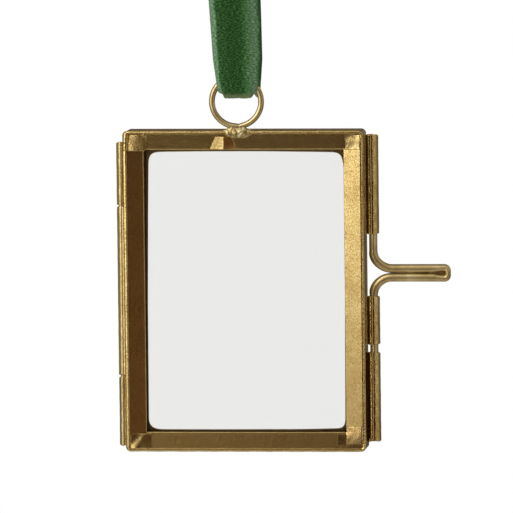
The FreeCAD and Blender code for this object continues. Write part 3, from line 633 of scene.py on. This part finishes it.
# sections seen from above, from the tab's side round the back to the front, in mm from
# the pin's axis; the tab starts a foot away from the axis in Y and turns in at its bend
knuckleRoll = {"centre": (-24.953, 2.9), "wall": -24.02, "foot": 3.0, "bend": (-0.1, 1.0), "outer": -1.4,
               "tabTaper": 4.2,
               "section": [(0.80, -0.35), (0.86, 0.2), (0.62, 0.66), (0.1, 0.88), (-0.5, 0.78), (-0.90, 0.35),
                           (-0.93, -0.15), (-0.90, -0.42), (-0.05, -0.86), (0.30, -0.84), (0.52, -0.70)]}
barrelRoll = {"centre": (38.077, 2.9), "wall": 36.0, "foot": 0.6, "bend": (0.4, 0.5), "outer": 1.4,
              "section": [(-1.37, 0.1), (-1.28, 0.62), (-0.85, 1.10), (0.0, 1.38), (0.85, 1.10), (1.28, 0.55),
                          (1.39, 0.0), (1.30, -0.52), (0.98, -1.0), (0.28, -1.37), (0.17, -1.15), (0.05, -0.85),
                          (-0.05, -0.85), (-0.16, -1.15), (-0.27, -1.40), (-0.52, -1.44), (-0.86, -1.413),
                          (-1.06, -1.16), (-1.22, -0.8), (-1.32, -0.45)]}
rollForm = {"thick": 0.27, "columns": 170, "passes": 3, "rows": 70, "endEase": 0.16, "endThick": 0.35,
            "endRows": (0, 0.002, 0.006, 0.012), "inset": 0.02, "waves": ((0.012, 2, 1.7, 0), (0.010, 0, 0.63, 1))}
# the lower barrel's front: its left half is cut short, its right half ends in a point
lowCut = {"front": (0.2, 0.6), "left": (-0.1, 0.15), "leftRise": 0.8, "rightRise": 0.5, "point": 1.0, "spread": 0.5}


def rolledSheet(name, line, low, high, body, finish):
    # A strip of sheet that follows a line seen from above: outer face upwards, inner
    # face back down, with softened ends and slow ripples along it.
    s = rollForm
    normal = -leftOf(line)
    ends = np.array(s["endRows"])
    share = np.concatenate([ends, np.linspace(s["inset"], 1 - s["inset"], s["rows"]), 1 - ends[::-1]])
    z = low[:, None] + (high - low)[:, None] * share
    end = np.clip(np.minimum(z - low[:, None], high[:, None] - z) / s["endEase"], 0, 1)
    half = s["thick"] / 2 * (s["endThick"] + (1 - s["endThick"]) * np.sqrt(1 - (1 - end) ** 2))
    ripple = ripples(line[:, :1], z, s["waves"])
    faces = [line[:, None] + normal[:, None] * (ripple + side * half)[..., None] for side in (1, -1)]
    flat = np.concatenate([faces[0], faces[1][:, ::-1]], 1)
    points = np.dstack([flat, np.hstack([z, z[:, ::-1]])])
    piece = gridMesh(name + "_roll", points * mm, finish, body)
    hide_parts(name)


def makeRolls():
    # Seen from above the sheet leaves its leaf's wall as a tab, then runs round the pin.
    # The front leaf's tabs lie in front of the axis and the back leaf's behind it, and
    # there the roll's line is followed the other way round.
    for name, (body, lowEnd, highEnd, notch, turn) in rolls.items():
        isKnuckle = "knuckle" in name
        shape = knuckleRoll if isKnuckle else barrelRoll
        side = 1 if body == "back_leaf" else -1
        cosine, sine = np.cos(np.radians(turn)), np.sin(np.radians(turn))
        corners = shape["section"] @ np.array([[cosine, sine], [-sine, cosine]]) + shape["centre"]
        if (side > 0) != isKnuckle:
            corners = corners[::-1]
        x0, y0 = shape["centre"]
        foot = (shape["wall"], y0 + side * shape["foot"])
        bend = (shape["wall"] + shape["bend"][0], y0 + side * shape["bend"][1])
        line = soften(evenLine(np.vstack([foot, bend, corners]), rollForm["columns"]), rollForm["passes"])
        x, y = (line - (x0, y0)).T
        # the ends draw back a little at the outer side, where the sheet is bent most
        outward = np.clip(x / shape["outer"], 0, 1) ** 3
        low, high = lowEnd + notch[0] * outward, highEnd - notch[1] * outward
        if isKnuckle:
            # the tab narrows towards its foot
            tabStart = shape["bend"][1]
            taper = shape["tabTaper"] * np.clip((np.abs(y) - tabStart) / (shape["foot"] - tabStart), 0, 1)
            low, high = low + taper, high - taper
        if name == "latch_barrel_lower":
            left = ease(-x, *lowCut["left"])
            point = np.clip(np.abs(x - lowCut["point"]) / lowCut["spread"], 0, 1)
            low += ease(-y, *lowCut["front"]) * (lowCut["leftRise"] * left + lowCut["rightRise"] * (1 - left) * point)
        rolledSheet(name, line, low, high, body, formedBrass if isKnuckle else sheetBrass)


# a burr of torn lacquer and metal on the lower barrel's front
burr = {"axis": (38.077, 2.9), "radius": 1.53, "reach": 1.42, "thick": 0.11, "rows": 60, "passes": 6,
        "waver": (0.35, 0.9, 0.37), "strands": {
    "barrel_burr_high": [(36.78, -173.3), (36.95, -172.1), (37.45, -170.9), (37.85, -170.33), (38.35, -170.35),
                         (38.75, -170.6)],
    "barrel_burr_low": [(37.3, -172.6), (37.02, -173.3), (36.78, -174.2), (36.85, -175.0), (37.15, -175.6),
                        (37.5, -175.85)]}}


def makeBurr():
    # Each strand is a thin wire that lies on the barrel's round front.
    x0, y0 = burr["axis"]
    half = burr["thick"] * mm * waver(np.arange(burr["rows"]), *burr["waver"])
    for name, corners in burr["strands"].items():
        line = soften(evenLine(corners, burr["rows"]), burr["passes"])
        y = y0 - np.sqrt(burr["radius"] ** 2 - np.clip(line[:, 0] - x0, -burr["reach"], burr["reach"]) ** 2)
        points, uv = wireSkin(standing(line, y) * mm, standing(leftOf(line)), half, half, sides=10, capRows=3)
        gridMesh(name, points, platedSolder, "back_leaf", uv=uv)


makeRolls()
makeBurr()
print("knuckles and barrels rolled")


# faces and folds of the front flanges; corners are low left, low right, top right and
# top left as (x, y, z)
plates = {
    "face_top": {"corners": ((-19.4, -0.19, -116.76), (32.4, -0.26, -116.76), (32.4, -0.87, -113.0),
                             (-19.4, -1.0, -113.0)), "lumps": 0.012, "seed": 1},
    "lap_top": {"corners": ((-2.29, -0.21, -116.78), (4.34, -0.21, -116.78), (3.18, -0.86, -113.6),
                            (-0.75, -0.90, -113.6)), "ridge": (0.55, 1.0, 0.42), "sway": 0.35, "lumps": 0.012,
                "seed": 2},
    "fold_top_right": {"corners": ((31.45, -0.44, -116.97), (35.25, -1.24, -116.92), (35.4, -1.30, -113.2),
                                   (33.4, -1.05, -113.2)), "bow": 0.03, "lumps": 0.016, "seed": 3},
    "fold_top_left": {"corners": ((-22.75, -0.98, -117.13), (-18.3, -1.12, -117.13), (-17.7, -1.05, -113.1),
                                  (-22.4, -0.85, -113.1)), "bow": -0.10, "lumps": 0.02, "seed": 4},
    "fold_low_left": {"corners": ((-22.88, -1.02, -191.5), (-17.4, -0.83, -191.4), (-17.4, -0.20, -187.75),
                                  (-22.87, -1.10, -187.85)), "lumps": 0.02, "seed": 5,
                      "crease": ((-20.15, -188.1), (-22.48, -191.44), 0.31, 1.1)},
    # the lower right fold, in the darker copy of the sheet as painted shade
    "fold_low_right": {"corners": ((31.5, -1.02, -190.5), (35.05, -1.17, -190.4), (35.05, -0.97, -185.9),
                                   (31.42, -0.19, -186.0)), "lumps": 0.014, "seed": 6, "paintedShade": True},
    # a pressed spot, darker as painted shade for the dark patch left of the fold
    "dent_low_right": {"corners": ((28.95, -0.98, -190.6), (31.2, -0.88, -190.6), (31.1, -0.90, -187.9),
                                   (29.0, -1.0, -187.9)), "lumps": 0.006, "seed": 7, "paintedShade": True},
    # a thin dark strip along the right bead: painted shade for the groove between bar and bead
    "groove_right": {"corners": ((35.35, -1.385, -190.3), (35.64, -1.355, -190.3), (35.64, -1.355, -113.9),
                                 (35.35, -1.385, -113.9)), "lumps": 0.006, "seed": 9, "paintedShade": True},
}
plateForm = {"thick": 0.22, "rows": 44, "columns": 61, "edge": 0.07, "waves": 9, "waveNumber": 2.6,
             "backRaised": 0.6, "backFall": 0.3}
# the bead that is rolled along the front rim
frontBead = {"low": (-24.03, -192.26), "high": (36.25, -112.08), "front": -1.335, "flat": 0.58, "thin": 0.30,
             "turn": 25, "corner": 1.3, "share": 0.74, "leftMore": 0.24, "cornerRows": 13, "sideRows": 80,
             "columns": 28, "waves": ((0.02, 0.9, 0.7, 0), (0.015, 2.3, 1.9, 0))}
# a curl of the bead over the top left corner: upright, round, drawn in at both ends
beadCurl = {"low": (-23.3, -0.80, -117.3), "high": (-23.05, -0.72, -112.15), "radius": 0.78, "fullness": 7,
            "rows": 60, "columns": 40, "pole": 0.004, "waves": ((0.05, 11, 0, 1), (0.03, 29, 0, 0))}

# the clear opening seen through the back leaf, from its top left corner clockwise
backOpening = [(-18.20, -122.26), (-18.14, -119.76), (-18.01, -119.14), (-17.70, -118.51), (-17.24, -118.06),
               (-16.49, -117.84), (-15.23, -117.74), (-5.19, -117.64), (9.85, -117.64), (24.86, -117.84),
               (28.61, -117.92), (29.41, -118.10), (29.95, -118.45), (30.30, -119.10), (30.45, -119.85),
               (30.66, -121.09), (30.80, -122.84), (30.84, -125.33), (30.70, -154.80), (30.53, -179.82),
               (30.48, -185.00), (30.31, -186.13), (29.88, -186.70), (28.88, -186.91), (19.09, -187.12),
               (-1.00, -187.20), (-13.58, -187.20), (-16.20, -187.18), (-17.20, -187.03), (-18.03, -186.65),
               (-18.60, -186.00), (-18.82, -185.30), (-18.86, -184.34), (-18.82, -179.87), (-18.72, -154.79),
               (-18.43, -134.76)]
backLip = {"low": (-19.35, -187.95), "high": (31.65, -116.45), "front": 5.33, "back": 5.52, "round": 0.06,
           "edge": 0.04, "rows": 520, "passes": 4}


def makePlate(name, plate):
    # Bilinear between four corners, rounded over at its rim, with slow random ripples.
    # A bow is a parabola across, a ridge is two slopes meeting, and a crease is a smooth
    # step across a slanting line.
    form = plateForm
    t, s = np.meshgrid(np.linspace(0, 1, form["rows"]), np.linspace(0, 1, form["columns"]), indexing="ij")
    lowLeft, lowRight, topRight, topLeft = (np.array(c) for c in plate["corners"])
    weights = [(1 - s) * (1 - t), s * (1 - t), s * t, (1 - s) * t]
    points = sum(w[..., None] * c for w, c in zip(weights, (lowLeft, lowRight, topRight, topLeft)))
    x, z = points[..., 0], points[..., 2]
    raised = -plate.get("bow", 0) * 4 * s * (1 - s)
    if "ridge" in plate:
        place, rise, topShare = plate["ridge"]
        raised = raised + np.minimum(s / place, (1 - s) / (1 - place)) * rise * (1 - (1 - topShare) * t)
        points[..., 0] += plate["sway"] * np.sin(np.pi * t) * ease(s, 0.6, 1)
    if "crease" in plate:
        (xa, za), (xb, zb), step, width = plate["crease"]
        length = np.hypot(xb - xa, zb - za)
        distance = ((x - xa) * (zb - za) - (z - za) * (xb - xa)) / -length
        raised = raised + step * ease(distance, -width, width)
    draw = np.random.default_rng(plate["seed"])
    for _ in range(form["waves"]):
        wave = draw.uniform(-form["waveNumber"], form["waveNumber"], 2)
        raised = raised + plate["lumps"] / 3 * np.sin(wave[0] * x + wave[1] * z + draw.uniform(0, 6.3))
    # distance from the rim in mm rounds the edge over
    sizeX = np.linalg.norm((lowRight - lowLeft)[[0, 2]])
    sizeZ = np.linalg.norm((topLeft - lowLeft)[[0, 2]])
    rim = np.minimum(np.minimum(s, 1 - s) * sizeX, np.minimum(t, 1 - t) * sizeZ)
    fall = form["edge"] * (1 - np.sqrt(1 - (1 - np.clip(rim / form["edge"], 0, 1)) ** 2))
    front, back = points.copy(), points.copy()
    front[..., 1] += fall - raised
    back[..., 1] += form["thick"] - raised * form["backRaised"] - fall * form["backFall"]
    grid = np.concatenate([front, back[:, ::-1]], 1)
    # plates flagged so take the darker copy of the sheet as painted shade
    finish = paintedShadeBrass if plate.get("paintedShade") else sheetBrass
    gridMesh(name, grid * mm, finish, "front_leaf")


def makeBackLip():
    # A flat band between the clear opening and the pane's edge: the opening's corners
    # joined by a smooth closed line, and the same line pushed out to a rectangle.
    s = backLip
    inner = evenLine(backOpening, s["rows"], closed=True)
    for _ in range(s["passes"]):
        inner = (np.roll(inner, 1, 0) + 2 * inner + np.roll(inner, -1, 0)) / 4
    middle, half = (np.array(s["high"]) + s["low"]) / 2, (np.array(s["high"]) - s["low"]) / 2
    ray = inner - middle
    outer = middle + ray / np.max(np.abs(ray) / half, axis=1)[:, None]
    near, far = s["front"], s["back"]
    section = [(0.0, far - s["edge"]), (0.0, near + s["edge"]), (s["round"], near), (0.5, near), (1.0, near),
               (1.0, far), (0.5, far), (s["round"], far)]
    points = np.stack([standing(inner + (outer - inner) * share, y) for share, y in section], 1)
    gridMesh("back_lip", points * mm, formedBrass, "back_leaf", closeRows=True)


def makeFrontBead():
    # A rounded rectangle carrying an ellipse whose flat side is turned outwards. Seen
    # from the front it is widest on the left and narrowest on the right.
    s = frontBead
    middle = (np.array(s["high"]) + s["low"]) / 2
    half = (np.array(s["high"]) - s["low"]) / 2 - s["corner"]
    quarter = np.linspace(0, 90, s["cornerRows"])
    signs = [(1, 1), (-1, 1), (-1, -1), (1, -1)]
    normal, edge = [], []
    for k, sign in enumerate(signs):
        turn = np.radians(90 * k + quarter)
        out = np.stack([np.cos(turn), np.sin(turn)], 1)
        arc = middle + half * sign + s["corner"] * out
        ahead = middle + half * signs[(k + 1) % 4] + s["corner"] * out[-1]
        edge += [arc, arc[-1] + (ahead - arc[-1]) * np.linspace(0, 1, s["sideRows"] + 2)[1:-1, None]]
        normal += [out, np.repeat(out[-1:], s["sideRows"], 0)]
    edge, normal = np.vstack(edge), np.vstack(normal)
    size = s["share"] - s["leftMore"] * normal[:, 0]
    tilt = np.radians(s["turn"])
    phi = np.linspace(0, 2 * np.pi, s["columns"], endpoint=False)
    outward = s["flat"] * np.cos(phi) * np.cos(tilt) + s["thin"] * np.sin(phi) * np.sin(tilt)
    front = -s["flat"] * np.cos(phi) * np.sin(tilt) + s["thin"] * np.sin(phi) * np.cos(tilt)
    ripple = ripples(edge[:, 0], edge[:, 1], s["waves"])
    centre = edge - normal * (size * outward.max() - ripple)[:, None]
    inPlane = centre[:, None] + normal[:, None] * (size[:, None] * outward)[..., None]
    y = s["front"] + (front.max() - front)[None] * size[:, None]
    points = np.stack([inPlane[..., 0], y, inPlane[..., 1]], -1)
    gridMesh("front_bead", points * mm, sheetBrass, "front_leaf", closeRows=True)


def makeBeadCurl():
    # Level circles up a line, radius (1 - |2t - 1|^fullness)^(1/2) of the full one.
    s = beadCurl
    low, high = np.array(s["low"]), np.array(s["high"])
    t = np.linspace(s["pole"], 1 - s["pole"], s["rows"])
    radius = s["radius"] * np.sqrt(1 - np.abs(2 * t - 1) ** s["fullness"]) * ripples(t, 0, s["waves"], 1)
    angle = np.linspace(0, 2 * np.pi, s["columns"], endpoint=False)
    circle = np.stack([np.cos(angle), np.sin(angle), 0 * angle], 1)
    points = (low + (high - low) * t[:, None])[:, None] + radius[:, None, None] * circle
    gridMesh("bead_curl", points * mm, sheetBrass, "front_leaf")


makeFrontBead()
makeBeadCurl()
for plateName, plate in plates.items():
    makePlate(plateName, plate)
makeBackLip()
print("flange faces and folds laid")


# ribbon
ribbon = {"ringCentre": (4.397, 0.0, -104.908), "hangRise": 105.0, "width": 12.7, "thick": 0.85,
          "foldRadius": 1.4, "foldRise": 1.2, "topRadius": 3.65, "topUp": 0.45, "footX": 5.2, "leanPower": 1.25,
          "seenWidth": ((0, 10.0), (4, 10.6), (10.4, 11.9), (25, 12.5), (105, 12.6)),
          # turns in degrees, and where they start and end across, from -1 to 1
          "creaseTurn": 36, "crease": (0.62, 0.76), "curlTurn": 38, "curl": (0.3, 0.78),
          "edgeTurn": 30, "edge": (0.86, 0.98),
          # the share of the turns on the back ply, and what the front ply adds to it
          "turnShare": (-0.35, 1.35), "wander": ((0.12, 17.0), (0.08, 7.3)), "level": 0.4,
          "rimThick": 0.25, "fullness": 12, "pileShift": 0.5,
          # how far the fold's lower outline is raised at the left, at the notch and at the
          # ear, each with its place across, and the heights over which that fades
          "outline": ((1.05, -4.1, -3.5), (0.85, 3.75, 0.4), (-0.25, 4.2, 4.8)), "outlineFade": (0.6, 4.2),
          "rows": 560, "columns": 54, "pile": 0.035, "seed": 11}


def ribbonLine(count):
    # The strip's centre line from the side: two straight plies joined by two half
    # circles. It starts at the fold's front and runs under it and up the back.
    s = ribbon
    lowZ = s["foldRise"] + s["foldRadius"]
    highZ = s["hangRise"] - s["topRadius"] + s["topUp"]
    tilt = np.arcsin((s["topRadius"] - s["foldRadius"]) / (highZ - lowZ))
    run = (highZ - lowZ) * np.cos(tilt)
    fold, top = s["foldRadius"] * (np.pi - 2 * tilt), s["topRadius"] * (np.pi + 2 * tilt)
    total = fold + top + 2 * run
    d = np.linspace(0, total, count, endpoint=False)
    marks = np.cumsum([fold, run, top])
    where = [d < marks[0], d < marks[1], d < marks[2]]
    turn = np.select(where, [-np.pi + tilt + d / s["foldRadius"], -tilt + 0 * d,
                             -tilt + (d - marks[1]) / s["topRadius"]], np.pi + tilt)
    outward = np.stack([np.cos(turn), np.sin(turn)], 1)
    low = np.array([0, lowZ]) + s["foldRadius"] * outward
    high = np.array([0, highZ]) + s["topRadius"] * outward
    share = np.select(where, [0 * d, (d - marks[0]) / run, 1 + 0 * d], 1 - (d - marks[2]) / run)[:, None]
    return d, low * (1 - share) + high * share, outward, total


def makeRibbon():
    # Across, each row is an arch: a crease near the left edge and a slow curl on the
    # right, both turned away from the viewer, then drawn in to the width seen at its
    # height. At the fold the middle hangs lowest and the edges ride up the ring.
    s = ribbon
    draw = np.random.default_rng(s["seed"])
    d, line, outward, total = ribbonLine(s["rows"])
    rise = line[:, 1]
    v = np.linspace(-1, 1, s["columns"])
    slope = (-np.radians(s["creaseTurn"]) * ease(-v, *s["crease"]) + np.radians(s["curlTurn"]) * ease(v, *s["curl"])
             + np.radians(s["edgeTurn"]) * ease(v, *s["edge"]))
    turned = s["turnShare"][0] + s["turnShare"][1] * (1 - outward[:, 0]) / 2
    wander = sum([size * np.sin(d / length) for size, length in s["wander"]], 1)
    slope = slope[None, :] * (turned * wander)[:, None]
    step = s["width"] / (s["columns"] - 1)
    x = np.cumsum(np.cos(slope), 1) * step
    x -= (x[:, :1] + x[:, -1:]) / 2
    heights, widths = np.array(s["seenWidth"]).T
    x *= (np.interp(rise, heights, widths) / (x[:, -1] - x[:, 0]))[:, None]
    bow = np.cumsum(np.sin(slope), 1) * step
    bow -= bow[:, int(s["columns"] * s["level"])][:, None]
    # both faces of the strip, with rounded edges
    half = s["thick"] / 2 * (s["rimThick"] + (1 - s["rimThick"]) * (1 - np.abs(v) ** s["fullness"]) ** 0.5)
    fuzz = draw.normal(size=(s["rows"], 2 * s["columns"])) * s["pile"]
    fuzz = (fuzz + np.roll(fuzz, 1, 0) + np.roll(fuzz, 1, 1)) / 1.5
    lift, shift = half * np.cos(slope), half * np.sin(slope)
    across = np.hstack([x + shift, (x - shift)[:, ::-1]])
    out = np.hstack([-bow + lift + fuzz[:, :s["columns"]], (-bow - lift + fuzz[:, s["columns"]:])[:, ::-1]])
    y = line[:, :1] + outward[:, :1] * out
    z = line[:, 1:] + outward[:, 1:] * out
    # the fold's lower outline, from left to right: high, low, a notch, an ear
    left, notch, ear = s["outline"]
    lifted = (left[0] * (1 - ease(across, *left[1:])) + notch[0] * np.exp(-((across - notch[1]) / notch[2]) ** 2)
              + ear[0] * ease(across, *ear[1:]))
    z += lifted * (1 - ease(z, *s["outlineFade"]))
    x0, y0, z0 = s["ringCentre"]
    lean = s["footX"] * (1 - np.clip(z / s["hangRise"], 0, 1) ** s["leanPower"])
    points = np.stack([across + lean, y + y0, z + z0], -1)
    # across the front, then back over the other face with its pile shifted
    place = (v + 1) / 2 * s["width"]
    uv = np.stack(np.broadcast_arrays(d[:, None], np.concatenate([place, place[::-1] + s["pileShift"]])), -1)
    piece = gridMesh("velvet_ribbon", points * mm, velvet, "front_leaf", closeRows=True, uv=uv * mm)
    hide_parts("ribbon")
    return piece, total


ribbonPiece, ribbonLength = makeRibbon()
print("ribbon hung, %.1f mm round" % ribbonLength)
